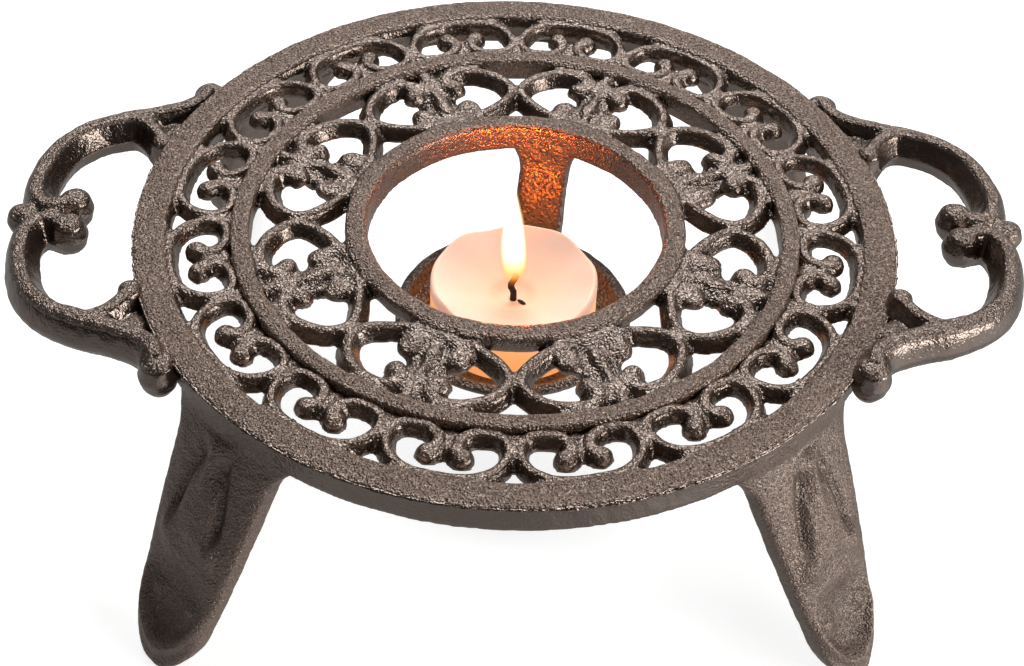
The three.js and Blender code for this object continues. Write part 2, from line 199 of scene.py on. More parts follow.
# Grate, outer part. A flat rim ring with sixteen C-scrolls inside it, each an upright rib with a
# half-round crown and drafted walls that ends in two buds. Sand-cast iron, lacquered brown-black.
RIM_WIDTH = 6.8 * MM
RIM_LIP = 0.8 * MM
RIM_FILLET = 1.1 * MM
OUTER_BAND = 13.9 * MM
MIDDLE_WIDTH = 4.1 * MM
MIDDLE_HEIGHT = 6.0 * MM
SCROLL_DROP = 0.7 * MM
SCROLL_HEIGHT = 3.7 * MM
CURL_HEIGHT = 0.75
CURL_SWELL = 0.3
SCROLL_MARGIN = 0.8 * MM
OUTER_SCROLLS = 16
OUTER_CROWN = 1.3 * MM
OUTER_FOOT = 2.2 * MM
OUTER_BUD = 2.5 * MM
OUTER_VOXEL = 0.59 * MM
WALL_SMOOTH = 1.0
CREST_SMOOTH = 0.55
# Degrees from a leg's middle over which the skirt turns from the leg's sandy skin to a smooth one
SKIRT_TURN = (11, 22)
SKIRT_SMOOTH = (0.3, 1.0)
# Unevenness of every cast skin: height in millimetres, wavelength
CAST_WAVES = ((0.10, 9 * MM), (0.06, 3 * MM))
RELIEF_ROUNDS = 40
RELIEF_RANGE = 1.6 * MM
IRON_IOR = 1.8
IRON_SHEEN = 0.95
IRON_TINT = (1, 0.81, 0.7, 1)
rim_radius = plate_high.x
rim_inner = rim_radius - RIM_WIDTH
middle_outer = rim_inner - OUTER_BAND
middle_inner = middle_outer - MIDDLE_WIDTH
# Crown of the arch to the eye of the curl: share of the way to the next scroll, share of the band
OUTER_HALF = [
    (0, 1), (0.36, 0.98), (0.61, 0.9), (0.81, 0.75), (0.93, 0.55), (0.98, 0.36), (0.95, 0.17),
    (0.83, 0.04), (0.64, 0), (0.41, 0.01), (0.22, 0.13), (0.15, 0.3), (0.18, 0.45), (0.27, 0.52)]


def grid_part(points, looped=False):
    """A grid of points (rows, columns, 3) as vertices and quads. Columns close on themselves, and
    rows do too if looped; the quads are turned round if the volume they enclose is negative."""
    rows, columns = points.shape[:2]
    row = np.arange(rows if looped else rows - 1)[:, None]
    column = np.arange(columns)[None, :]
    after, beside = (row + 1) % rows, (column + 1) % columns
    quads = np.stack([
        row * columns + column, row * columns + beside,
        after * columns + beside, after * columns + column], -1).reshape(-1, 4)
    vertices = points.reshape(-1, 3)
    a, b, c, d = (vertices[quads[:, k]] for k in range(4))
    volume = np.einsum("ij,ij->", np.cross(a, b), c) + np.einsum("ij,ij->", np.cross(a, c), d)
    return vertices, quads if volume > 0 else quads[:, ::-1]


def turned(profile, steps, looped=False):
    """Profile of (radius, height) pairs carried round Z: x = r cos a, y = r sin a, z = height."""
    profile = np.asarray(profile, float)
    angle = np.linspace(0, 2 * math.pi, steps, endpoint=False)
    radius, height = profile[:, :1], profile[:, 1:]
    points = np.stack([radius * np.cos(angle), radius * np.sin(angle), height + 0 * angle], -1)
    return grid_part(points, looped)


def smooth_path(points, steps):
    """Catmull-Rom curve through points, with so many steps between each pair: each span is the
    cubic whose slope at a point is half the way between that point's two neighbours."""
    p = np.asarray(points, float)
    p = np.vstack([2 * p[0] - p[1], p, 2 * p[-1] - p[-2]])
    t = np.linspace(0, 1, steps, endpoint=False)[None, :, None]
    before, start, end, after = (p[k:len(p) - 3 + k, None, :] for k in range(4))
    curve = 0.5 * (2 * start + (end - before) * t
                   + (2 * before - 5 * start + 4 * end - after) * t ** 2
                   + (3 * start - before - 3 * end + after) * t ** 3)
    return np.vstack([curve.reshape(-1, p.shape[1]), p[-2:-1]])


def rib_section(crown, foot, height):
    """Section of an upright rib as (sideways, depth) pairs: a half circle of radius crown on top,
    then walls that spread to foot at the full depth."""
    angle = np.linspace(0, math.pi, 9)
    top = np.stack([-crown * np.cos(angle), crown * (1 - np.sin(angle))], -1)
    return np.vstack([top, [[foot, height], [-foot, height]]])


def swept_rib(path, section, top, swell=1.0, deep=1.0):
    """Section carried along a plan path: point = path + sideways * across, height = top - depth.
    Swell widens and deep stretches it along the way; both ends are drawn together to a point."""
    path = np.asarray(path, float)
    along = np.gradient(path, axis=0)
    along /= np.linalg.norm(along, axis=1, keepdims=True)
    across = np.stack([-along[:, 1], along[:, 0]], -1)
    level = np.zeros(len(path))
    sideways = section[None, :, 0] * (level + swell)[:, None]
    plan = path[:, None, :] + sideways[:, :, None] * across[:, None, :]
    height = (level + top)[:, None] - section[None, :, 1] * (level + deep)[:, None]
    points = np.concatenate([plan, height[:, :, None]], -1)
    return grid_part(closed_ends(points))


def closed_ends(points):
    """Rows of points with a row at each end drawn together to that end's middle."""
    ends = [np.broadcast_to(points[k].mean(0), points[k].shape)[None] for k in (0, -1)]
    return np.concatenate([ends[0], points, ends[1]])


def bud(x, y, radius, top, bottom):
    """Domed post: radius r sin a and height top - r (1 - cos a) over the dome, then a wall that
    spreads slightly to the bottom, turned round the upright line through (x, y)."""
    angle = np.linspace(0, math.pi / 2, 7)
    dome = np.stack([radius * np.sin(angle), top - 0.75 * radius * (1 - np.cos(angle))], -1)
    wall = [[radius * 1.12, bottom], [0, bottom]]
    vertices, quads = turned(np.vstack([dome, wall]), 18)
    return vertices + np.array([x, y, 0]), quads


def round_about(parts, count):
    """Copies of parts turned evenly round Z, the first half a pitch past +X."""
    angle = (np.arange(count) + 0.5) * 2 * math.pi / count
    turn = np.zeros((count, 3, 3))
    turn[:, 0, 0] = turn[:, 1, 1] = np.cos(angle)
    turn[:, 1, 0] = np.sin(angle)
    turn[:, 0, 1] = -np.sin(angle)
    turn[:, 2, 2] = 1
    return [(vertices @ turn[k].T, quads) for vertices, quads in parts for k in range(count)]


def scroll_parts(half, inner, outer, count, crown, foot, bud_radius):
    """A mirrored scroll centred on +X, laid out in polar shares of its band, with a bud at each
    curl's eye. The rib grows shallower into the curls."""
    low, high = inner + SCROLL_MARGIN, outer - SCROLL_MARGIN
    shares = np.array([(-s, r) for s, r in half[:0:-1]] + list(half))
    radius = low + shares[:, 1] * (high - low)
    angle = shares[:, 0] * (math.pi / count - SCROLL_MARGIN / radius)
    path = smooth_path(np.stack([radius * np.cos(angle), radius * np.sin(angle)], -1), 7)
    top = plate_top - SCROLL_DROP
    inward = np.abs(np.linspace(-1, 1, len(path))) ** 3
    deep = 1 + (CURL_HEIGHT - 1) * inward
    section = rib_section(crown, foot, SCROLL_HEIGHT)
    foot_of_curl = top - SCROLL_HEIGHT * CURL_HEIGHT
    eyes = [bud(*path[k], bud_radius, top + 0.2 * MM, foot_of_curl) for k in (0, -1)]
    return [swept_rib(path, section, top, 1 + CURL_SWELL * inward, deep), *eyes]


def web(radius, angle, size, sink):
    """Low domed post that closes the groove between ribs, its top sunk below theirs."""
    top = plate_top - SCROLL_DROP - sink
    bottom = plate_top - SCROLL_DROP - SCROLL_HEIGHT
    return bud(radius * math.cos(angle), radius * math.sin(angle), size, top, bottom)


def ring_part(outer, inner, height, ease, steps, lip=0.0, fillet=0.0):
    """Flat-topped ring with its upper edges eased, as a closed profile turned round Z. With a lip,
    the wall under the outer edge stands back by that much; with a fillet, the inner wall bulges
    by that much below the edge, where the scrolls run into it."""
    under = plate_top - height
    wall = outer - lip
    return turned([
        (inner, under), (wall - 0.4 * MM, under), (wall, under + 0.5 * MM),
        (wall, plate_top - ease - lip), (outer, plate_top - ease), (outer - 0.5 * ease, plate_top),
        (inner + ease, plate_top), (inner, plate_top - ease),
        (inner - 0.7 * fillet, plate_top - 1.7 * MM), (inner - fillet, plate_top - 2.8 * MM),
        (inner - 0.5 * fillet, plate_top - 4.4 * MM)], steps, looped=True)


def mesh_of(name, parts):
    """Mesh of several parts, with coinciding points of each pole made one."""
    starts = np.cumsum([0] + [len(vertices) for vertices, _ in parts])
    vertices = np.concatenate([vertices for vertices, _ in parts])
    quads = np.concatenate([quads + start for (_, quads), start in zip(parts, starts)])
    mesh = bpy.data.meshes.new(name)
    mesh.from_pydata(vertices.tolist(), [], quads.tolist())
    work = bmesh.new()
    work.from_mesh(mesh)
    bmesh.ops.remove_doubles(work, verts=work.verts, dist=1e-7)
    work.to_mesh(mesh)
    work.free()
    mesh.shade_smooth()
    return mesh


def points_of(mesh):
    """Points of a mesh, one row each."""
    points = np.empty(len(mesh.vertices) * 3, np.float32)
    mesh.vertices.foreach_get("co", points)
    return points.reshape(-1, 3).astype(float)


def move_points(mesh, points):
    """Moves the points of a mesh to new places."""
    mesh.vertices.foreach_set("co", points.ravel())
    mesh.update()


def normals_of(mesh):
    """Normals of a mesh's points, one row each."""
    normals = np.empty(len(mesh.vertices) * 3, np.float32)
    mesh.vertex_normals.foreach_get("vector", normals)
    return normals.reshape(-1, 3)


def mark(mesh, name, values):
    """Stores a value on each point of a mesh under a name, for a material to read."""
    store = mesh.attributes.get(name) or mesh.attributes.new(name, "FLOAT", "POINT")
    store.data.foreach_set("value", np.asarray(values, np.float32))


def marked(mesh, name):
    """Values stored on the points of a mesh under a name."""
    values = np.empty(len(mesh.vertices), np.float32)
    mesh.attributes[name].data.foreach_get("value", values)
    return values


def unevenness(points, length, seed):
    """Gentle waves between -1 and 1: the mean of twelve sines of about that wavelength, with
    directions and phases drawn from the seed."""
    draw = np.random.default_rng(seed)
    heading = draw.normal(size=(12, 3))
    heading *= 2 * math.pi / length / np.linalg.norm(heading, axis=1, keepdims=True)
    heading *= draw.uniform(0.6, 1.6, (12, 1))
    return np.sin(points @ heading.T + draw.uniform(0, 2 * math.pi, 12)).mean(1) * 2


def cast_piece(name, parts, voxel, rounds, seed):
    """Parts poured as one: a voxel skin over all of them, rounded off as sand leaves it, its
    surface moved along its normals by slow waves."""
    rough = placed(name, mesh_of(name, parts))
    skin = rough.modifiers.new("pour", "REMESH")
    skin.mode = "VOXEL"
    skin.voxel_size = voxel
    fillet = rough.modifiers.new("fillet", "SMOOTH")
    fillet.factor = 0.5
    fillet.iterations = rounds
    poured = rough.evaluated_get(bpy.context.evaluated_depsgraph_get())
    mesh = bpy.data.meshes.new_from_object(poured)
    rough.modifiers.clear()
    rough.data = mesh
    mesh.shade_smooth()
    points = points_of(mesh)
    waves = sum(
        size * unevenness(points, length, seed + k) for k, (size, length) in enumerate(CAST_WAVES))
    move_points(mesh, points + normals_of(mesh) * waves[:, None] * MM)
    mark_relief(mesh)
    return rough


def averaged(mesh, rounds):
    """Points of a mesh after rounds of averaging each with its neighbours."""
    ends = np.empty(len(mesh.edges) * 2, np.int32)
    mesh.edges.foreach_get("vertices", ends)
    start, end = ends[0::2], ends[1::2]
    level = points_of(mesh)
    count = len(level)
    neighbours = np.bincount(start, minlength=count) + np.bincount(end, minlength=count)
    for _ in range(rounds):
        total = np.stack([
            np.bincount(start, level[end, k], count) + np.bincount(end, level[start, k], count)
            for k in range(3)], -1)
        level = 0.4 * level + 0.6 * total / neighbours[:, None]
    return level


def mark_relief(mesh):
    """Marks how far each point stands out of its surroundings: 0.5 on the level, towards 1 on
    crests and towards 0 in hollows. The surroundings are the points after many rounds of averaging,
    and the distance is taken along the normal."""
    out = ((points_of(mesh) - averaged(mesh, RELIEF_ROUNDS)) * normals_of(mesh)).sum(1)
    mark(mesh, "relief", np.clip(0.5 + out / RELIEF_RANGE, 0, 1))


def ramp(value, start, end):
    """Smooth step from 0 at start to 1 at end: 3t^2 - 2t^3."""
    t = np.clip((value - start) / (end - start), 0, 1)
    return t * t * (3 - 2 * t)


def mark_ground(mesh, wall, crest):
    """Marks how smooth the skin is at each point: 0 as the sand left it, 1 dressed smooth. It
    blends from the wall's share to the crest's as the skin turns to face up."""
    facing_up = np.clip((normals_of(mesh)[:, 2] - 0.6) / 0.32, 0, 1)
    mark(mesh, "ground", wall + (crest - wall) * facing_up)


def object_place(tree):
    """Place on the piece, in its own coordinates."""
    return tree.nodes.new("ShaderNodeTexCoord").outputs["Object"]


def stored(tree, name):
    """Value that was marked on the points under a name."""
    return add_node(tree, "ShaderNodeAttribute", {"attribute_name": name}).outputs["Fac"]


def noise(tree, place, scale, detail, roughness=0.5):
    """Noise between 0 and 1."""
    return add_node(tree, "ShaderNodeTexNoise", Vector=place, Scale=scale, Detail=detail,
                    Roughness=roughness).outputs["Fac"]


def maths(tree, operation, *values):
    """Result of a sum on numbers or node outputs."""
    inputs = {"_%d" % k: value for k, value in enumerate(values)}
    return add_node(tree, "ShaderNodeMath", {"operation": operation}, **inputs).outputs[0]


def sand_grain_group():
    """Shared effect: the skin that a sand mould leaves. Height adds fine grain, slow lumps and
    pits, finer as Fineness grows; Tone, for colour, is blotchy and holds painted shade, low
    in the pits and lower where the fine grain is low."""
    group = bpy.data.node_groups.new("sand_grain", "ShaderNodeTree")
    for name, way in (
            ("Grain", "INPUT"), ("Fineness", "INPUT"), ("Tone", "OUTPUT"), ("Height", "OUTPUT")):
        group.interface.new_socket(name, in_out=way, socket_type="NodeSocketFloat")
    given = group.nodes.new("NodeGroupInput").outputs
    place = scaled(group, object_place(group), given["Fineness"])
    grain = noise(group, place, 1900, 1.0)
    lumps = noise(group, place, 330, 1.0)
    pit = mapped(group, noise(group, place, 1500, 0.0), 0.28, 0.44, soft=True)
    rise = maths(group, "MULTIPLY_ADD", lumps, 0.7, grain)
    sunk = maths(group, "MULTIPLY_ADD", pit, 0.4, rise)
    cloud = mapped(group, noise(group, place, 110, 4.0, 0.6), 0.3, 0.7, 0.8, 1.0)
    # Painted shade: the colour darkens where the fine grain is low, and most in the pits.
    grain_shade = mapped(group, grain, 0.3, 0.7, 0.5, 1.0)
    pit_shade = mapped(group, pit, low=0.35)
    tone = maths(group, "MULTIPLY", maths(group, "MULTIPLY", cloud, grain_shade), pit_shade)
    fill(group.nodes.new("NodeGroupOutput"), Tone=tone,
         Height=maths(group, "MULTIPLY", sunk, given["Grain"]))
    return group


sand_grain = sand_grain_group()


def iron_finish(name, hollow, level, crest, depth, fineness, gloss_range):
    """Lacquered cast iron: hollows get a near-black colour as painted shade, level skin and crests
    each have their colour, blotched by the grain's tone and its painted shade; the grain stands
    up as bump, less where the skin is ground."""
    finish, tree, shader = paint(name)
    ground, relief = stored(tree, "ground"), stored(tree, "relief")
    facing = tree.nodes.new("ShaderNodeNewGeometry").outputs["Normal"]
    crust = mapped(tree, upright(tree, facing), 0.45, 0.85, 0.4, 1.0, soft=True)
    rough = maths(tree, "MULTIPLY", crust, mapped(tree, ground, low=1.0, high=0.25))
    skin = add_node(
        tree, "ShaderNodeGroup", {"node_tree": sand_grain}, Grain=rough, Fineness=fineness)
    # Painted shade: where the relief mark falls towards a hollow, the colour runs to the near-black
    # hollow colour.
    low = mixed(tree, mapped(tree, relief, 0.2, 0.55), hollow, level)
    high = mixed(tree, mapped(tree, relief, 0.6, 1.0), low, crest)
    blotch = mapped(tree, skin.outputs["Tone"], low=0.2, high=1.5)
    coat = mapped(tree, ground, low=1.0, high=0.35)
    colour = scaled(tree, high, maths(tree, "MULTIPLY", blotch, coat))
    gloss = mapped(tree, rough, 0.15, 0.9, *gloss_range)
    bump = add_node(
        tree, "ShaderNodeBump", Height=skin.outputs["Height"], Distance=depth, Strength=1.0)
    fill(shader, Base_Color=colour, Roughness=gloss, Normal=bump.outputs["Normal"], IOR=IRON_IOR,
         Specular_IOR_Level=IRON_SHEEN, Specular_Tint=IRON_TINT)
    return finish


# The first colour, near black, is the painted shade of the hollows.
iron = iron_finish(
    "cast_iron_lacquer", (0.008, 0.005, 0.004), (0.062, 0.036, 0.024), (0.075, 0.045, 0.031),
    0.95 * MM, 1.0, (0.21, 0.36))

outer_scroll = scroll_parts(
    OUTER_HALF, middle_outer, rim_inner, OUTER_SCROLLS, OUTER_CROWN, OUTER_FOOT, OUTER_BUD)
outer_webs = [
    web(middle_outer + 2.0 * MM, 0, 3.0 * MM, 1.1 * MM),
    web(middle_outer + 1.4 * MM, math.pi / OUTER_SCROLLS, 3.4 * MM, 0.9 * MM)]
grate_outer = cast_piece("grate_outer", [
    ring_part(
        rim_radius, rim_inner, plate_high.z - plate_low.z, 0.5 * MM, 288, RIM_LIP, RIM_FILLET),
    *round_about([*outer_scroll, *outer_webs], OUTER_SCROLLS)], OUTER_VOXEL, 3, 11)
outer_points = points_of(grate_outer.data)
outer_reach = np.hypot(outer_points[:, 0], outer_points[:, 1])
on_skirt = (outer_reach > rim_radius - 1.6 * MM) & (outer_points[:, 2] < plate_top - 1.6 * MM)
# Painted shadow: a thin band round the skirt just under the rim's lip is marked as a hollow, so it
# takes the near-black hollow colour.
lip_shadow = np.abs(outer_points[:, 2] - plate_top + 1.3 * MM) < 0.45 * MM
lip_shadow &= outer_reach > rim_radius - 1.4 * MM
mark(grate_outer.data, "relief", np.where(lip_shadow, 0, marked(grate_outer.data, "relief")))
on_scrolls = outer_reach < rim_inner - 0.2 * MM
off_leg = np.abs(np.degrees(np.arctan2(outer_points[:, 1], outer_points[:, 0])) % 90 - 45)
skirt_smooth = SKIRT_SMOOTH[0] + (SKIRT_SMOOTH[1] - SKIRT_SMOOTH[0]) * ramp(off_leg, *SKIRT_TURN)
outer_wall = np.where(on_skirt, skirt_smooth, WALL_SMOOTH * on_scrolls)
mark_ground(grate_outer.data, outer_wall, CREST_SMOOTH * on_scrolls)
grate_outer.data.materials.append(iron)
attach(grate_outer, "stand")
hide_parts("grate")

# Casting flash. A thin ragged fin of iron that the joint of the mould left along the rim's top
# edge; part of the same casting.
FLASH_RADIUS = 0.5 * MM
FLASH_RELIEF = 0.9


def flash_part():
    """Thin round bead carried round the rim's upper edge, its radius ragged by slow and quick waves
    along the way and largest at the front."""
    angle = np.linspace(0, 2 * math.pi, 1440, endpoint=False)
    circle = np.stack([np.cos(angle), np.sin(angle), 0 * angle], -1)
    ragged = unevenness(circle, 0.05, 17) + unevenness(circle, 0.013, 18)
    size = FLASH_RADIUS * np.clip(0.75 + 0.45 * ragged, 0.15, 1.6)[:, None]
    size *= 0.65 - 0.45 * np.sin(angle)[:, None]
    turn = np.linspace(0, 2 * math.pi, 8, endpoint=False)[None, :]
    reach = rim_radius - 0.12 * MM + size * np.cos(turn)
    height = plate_top - 0.75 * MM + size * np.sin(turn)
    return grid_part(np.stack([
        reach * np.cos(angle)[:, None], reach * np.sin(angle)[:, None], height], -1), looped=True)


rim_flash = placed("rim_flash", mesh_of("rim_flash", [flash_part()]))
mark(rim_flash.data, "relief", np.full(len(rim_flash.data.vertices), FLASH_RELIEF))
mark_ground(rim_flash.data, WALL_SMOOTH, WALL_SMOOTH)
rim_flash.data.materials.append(iron)
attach(rim_flash, "stand")
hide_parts("grate")

# Grate, inner part. The middle ring, eight larger scrolls that spring from the collar, a lobed
# leaf with a stem in each scroll, and the collar round the hole. Cast in one with the rest.
INNER_BAND = 20.6 * MM
COLLAR_WIDTH = 4.8 * MM
COLLAR_HEIGHT = 7.2 * MM
INNER_SCROLLS = 8
INNER_CROWN = 1.45 * MM
INNER_FOOT = 2.7 * MM
INNER_BUD = 2.5 * MM
INNER_VOXEL = 0.555 * MM
LEAF_FOLD = 0.25 * MM
LEAF_MELT = 3
LEAF_SMOOTH = 0.65
LEAF_REACH = (6 * MM, 9 * MM)
HOLE_SMOOTH = 0.35
collar_outer = middle_inner - INNER_BAND
hole_radius = collar_outer - COLLAR_WIDTH
INNER_HALF = [
    (0, 0), (0.35, 0.03), (0.6, 0.11), (0.8, 0.23), (0.94, 0.38), (0.98, 0.53), (0.91, 0.68),
    (0.78, 0.81), (0.6, 0.91), (0.42, 0.95), (0.26, 0.92), (0.17, 0.83), (0.17, 0.73), (0.26, 0.68)]
# Lobes of the leaf: way out from the collar, degrees to the side, half length, half width, drop
LEAF_LOBES = [
    (4.7, 0, 5.5, 8.2, 2.0), (6.6, 0, 4.2, 2.0, 0.1), (5.3, 7.4, 3.9, 3.0, 0.3),
    (1.6, 0, 2.0, 7.0, 0.5)]


def lump(radius, angle, half_length, half_width, half_height, height):
    """Ellipsoid at a polar place, long along the radius: unit sphere of latitude and longitude
    stretched along its three axes and turned to its angle."""
    latitude = np.linspace(-math.pi / 2, math.pi / 2, 13)[:, None]
    longitude = np.linspace(0, 2 * math.pi, 20, endpoint=False)[None, :]
    out = half_length * np.cos(latitude) * np.cos(longitude) + radius
    side = half_width * np.cos(latitude) * np.sin(longitude)
    up = half_height * np.sin(latitude) + height + 0 * longitude
    x = out * math.cos(angle) - side * math.sin(angle)
    y = out * math.sin(angle) + side * math.cos(angle)
    return grid_part(np.stack([x, y, up], -1))


def leaf_parts():
    """The leaf's lobes as lumps that overlap, mirrored left and right, each with its top dropped
    a little below the ribs, and low webs that close the grooves round the stem."""
    parts = []
    crown = plate_top - SCROLL_DROP
    for out, degrees, length, width, drop in LEAF_LOBES:
        half_height = (SCROLL_HEIGHT - drop * MM) / 2
        for side in (1, -1) if degrees else (1,):
            parts.append(lump(
                collar_outer + out * MM, side * math.radians(degrees), length * MM, width * MM,
                half_height, crown - drop * MM - half_height))
    stem = np.linspace([middle_inner + 0.5 * MM, 0], [collar_outer + 9 * MM, 0], 12)
    section = rib_section(1.4 * MM, 2.4 * MM, SCROLL_HEIGHT)
    parts.append(swept_rib(stem, section, crown - 0.4 * MM, np.linspace(1.5, 0.8, 12)))
    parts.append(web(middle_inner - 4 * MM, 0, 3.8 * MM, 1.1 * MM))
    parts.append(web(collar_outer + 9.6 * MM, 0, 4.6 * MM, 1.3 * MM))
    return parts


def collar_part():
    """Collar: flat top, outer wall upright for half its depth and then sloped in under."""
    under = plate_top - COLLAR_HEIGHT
    return turned([
        (hole_radius, under), (hole_radius + 1.6 * MM, under),
        (collar_outer, plate_top - 3.6 * MM), (collar_outer, plate_top - 0.8 * MM),
        (collar_outer - 0.8 * MM, plate_top), (hole_radius + 0.8 * MM, plate_top),
        (hole_radius, plate_top - 0.8 * MM)], 192, looped=True)


inner_scroll = scroll_parts(
    INNER_HALF, collar_outer, middle_inner, INNER_SCROLLS, INNER_CROWN, INNER_FOOT, INNER_BUD)
grate_inner = cast_piece("grate_inner", [
    ring_part(middle_outer, middle_inner, MIDDLE_HEIGHT, 0.7 * MM, 240),
    collar_part(),
    *round_about([*inner_scroll, *leaf_parts()], INNER_SCROLLS)], INNER_VOXEL, 3, 21)
inner_points = points_of(grate_inner.data)
inner_reach = np.hypot(inner_points[:, 0], inner_points[:, 1])
in_band = (inner_reach > collar_outer + 0.2 * MM) & (inner_reach < middle_inner - 0.2 * MM)
in_hole = inner_reach < hole_radius + 0.5 * MM
pitch = 2 * math.pi / INNER_SCROLLS
inner_angle = np.arctan2(inner_points[:, 1], inner_points[:, 0])
off_axis = np.abs(inner_angle % pitch - pitch / 2) * inner_reach
on_leaf = (1 - ramp(off_axis, *LEAF_REACH)) * in_band
folds = unevenness(inner_points, 7 * MM, 23) + unevenness(inner_points, 4.5 * MM, 24)
inner_points += (averaged(grate_inner.data, LEAF_MELT) - inner_points) * on_leaf[:, None]
inner_points += normals_of(grate_inner.data) * (LEAF_FOLD * on_leaf * folds)[:, None]
move_points(grate_inner.data, inner_points)
mark_ground(
    grate_inner.data, np.where(in_hole, HOLE_SMOOTH, WALL_SMOOTH * in_band),
    (CREST_SMOOTH + (LEAF_SMOOTH - CREST_SMOOTH) * on_leaf) * in_band)
grate_inner.data.materials.append(iron)
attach(grate_inner, "stand")
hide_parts("grate")

# Handles. Each is two S-scrolls, mirrored, that meet at a knob and turn in to two buds, with a
# volute and a small hooked spur where each scroll runs into the rim. Cast with the rim.
HANDLE_WIDTH = 7.7 * MM
HANDLE_HEIGHT = 8.4 * MM
HANDLE_KNOB = 3.1 * MM
HANDLE_BUD = 3.5 * MM
HANDLE_VOLUTE = 3.7 * MM
SPUR_BUD = 2.6 * MM
SPUR_WEB = 4.8 * MM
SPUR_WEB_PLACE = (0.07, math.radians(22.6))
HANDLE_SEAT = 0.9 * MM
HANDLE_DROP = 0.4 * MM
HANDLE_DEPTH = 80 * MM
# How far each handle was bent up at its front and rear end
RIGHT_LIFTS = (4.6 * MM, 0.3 * MM)
LEFT_LIFTS = (2.0 * MM, 0)
HANDLE_CREST_SMOOTH = 0.12
HANDLE_VOXEL = 0.4 * MM
# Halves of a bar's section from its narrow crown to its foot, the outer one swelling and the inner
# one straight down to the parting line of the mould: share of the half width, share of the depth
BAR_OUTER = [
    (0.13, 0), (0.4, 0.04), (0.61, 0.13), (0.77, 0.27), (0.9, 0.43), (1, 0.62), (0.93, 0.8),
    (0.68, 1)]
BAR_INNER = [(0.13, 0), (0.34, 0.05), (0.46, 0.13), (0.97, 0.6), (0.68, 1)]
# Share of the way out from the rim to the knob, and degrees round the rim
HANDLE_HALF = [
    (0.07, 32.4), (0.03, 29.6), (0.1, 26.6), (0.3, 23.2), (0.54, 20.3), (0.77, 16.7), (0.9, 12.7),
    (0.94, 7.6), (0.91, 3.5), (0.78, 1.4), (0.55, 2.5)]
SPUR_HALF = [(0.62, 19.0), (0.45, 20.8), (0.28, 20.6), (0.13, 19.2), (0.02, 17.4)]
# Painted shade: the handles take a darker copy of the grate's lacquered iron, so their walls fall
# darker.
handle_iron_darkened = iron_finish(
    "cast_iron_handle_darkened", (0.006, 0.004, 0.003), (0.042, 0.025, 0.018), (0.055, 0.034, 0.024),
    0.8 * MM, 1.0, (0.2, 0.34))


def bar_section(left, right):
    """Section of a bar from its two halves, as (sideways, depth) pairs."""
    scale = np.array([HANDLE_WIDTH / 2, HANDLE_HEIGHT])
    mirror = np.array([-1, 1])
    return np.vstack([np.array(left) * scale, np.array(right)[::-1] * scale * mirror])


def boss(x, y, radius, top, bottom):
    """Post cast in two half moulds: domed top, wall that spreads to the parting line at half depth
    and draws in to a rounded foot, turned round the upright line through (x, y)."""
    angle = np.linspace(0, math.pi / 2, 7)
    dome = np.stack([radius * np.sin(angle), top - 0.6 * radius * (1 - np.cos(angle))], -1)
    half = (top + bottom) / 2
    foot = [
        [1.16 * radius, half], [0.95 * radius, half + 0.6 * (bottom - half)],
        [0.6 * radius, bottom], [0, bottom]]
    vertices, quads = turned(np.vstack([dome, foot]), 20)
    return vertices + np.array([x, y, 0]), quads


def handle_piece(name, side, lifts, seed):
    """One handle: ribs swept along both S-scrolls and spurs, and domed posts for knob, buds and
    volutes. Its plan is in polar shares between rim and knob, and its top rises by the lifts."""
    low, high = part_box(name)
    top = high.z - HANDLE_DROP
    bottom = top - HANDLE_HEIGHT
    seat = rim_radius + HANDLE_SEAT
    knob_radius = (high.x if side > 0 else -low.x) - HANDLE_KNOB
    parts = [boss(knob_radius, 0, HANDLE_KNOB, top - 0.6 * MM, bottom + 1 * MM)]
    for flank in (1, -1):
        halves = (BAR_OUTER, BAR_INNER)[::flank]
        for half, bud_radius, section in (
                (HANDLE_HALF, HANDLE_BUD, bar_section(*halves)),
                (SPUR_HALF, SPUR_BUD, bar_section(BAR_INNER, BAR_INNER))):
            shares = np.array(half)
            radius = seat + shares[:, 0] * (knob_radius - seat)
            angle = flank * np.radians(shares[:, 1])
            path = smooth_path(np.stack([radius * np.cos(angle), radius * np.sin(angle)], -1), 8)
            parts.append(swept_rib(path, section, top))
            parts.append(boss(*path[-1], bud_radius, top + 0.3 * MM, bottom))
            if half is HANDLE_HALF:
                parts.append(boss(*path[0], HANDLE_VOLUTE, top - 0.7 * MM, bottom - 1.6 * MM))
                reach = seat + SPUR_WEB_PLACE[0] * (knob_radius - seat)
                turn = flank * SPUR_WEB_PLACE[1]
                parts.append(bud(
                    reach * math.cos(turn), reach * math.sin(turn), SPUR_WEB, top - 3.2 * MM,
                    bottom))
    vertices, quads = zip(*parts)
    moved = [v * np.array([side, 1, 1]) for v in vertices]
    front_lift, rear_lift = lifts
    for v in moved:
        share = np.clip(0.5 - v[:, 1] / HANDLE_DEPTH, 0, 1)
        v[:, 2] += rear_lift + share * (front_lift - rear_lift)
    piece = cast_piece(name + "_scroll", list(zip(moved, quads)), HANDLE_VOXEL, 1, seed)
    mark_ground(piece.data, WALL_SMOOTH, HANDLE_CREST_SMOOTH)
    piece.data.materials.append(handle_iron_darkened)
    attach(piece, "stand")
    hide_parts(name)


handle_piece("handle_right", 1, RIGHT_LIFTS, 31)
handle_piece("handle_left", -1, LEFT_LIFTS, 41)

# Legs. Four splayed legs, each a curved tapering blade whose root spreads flush with the rim's
# skirt; a pointed leaf stands in relief on its face above a scooped spoon toe. Cast with the rim.
LEG_THICKNESS = 6.4 * MM
LEG_TOP_WIDTH = 36 * MM
LEG_NECK_WIDTH = 27.5 * MM
LEG_ROOT = 7 * MM
LEG_TOE_WIDTHS = (16.5 * MM, 16.5 * MM, 16.5 * MM, 13.5 * MM)
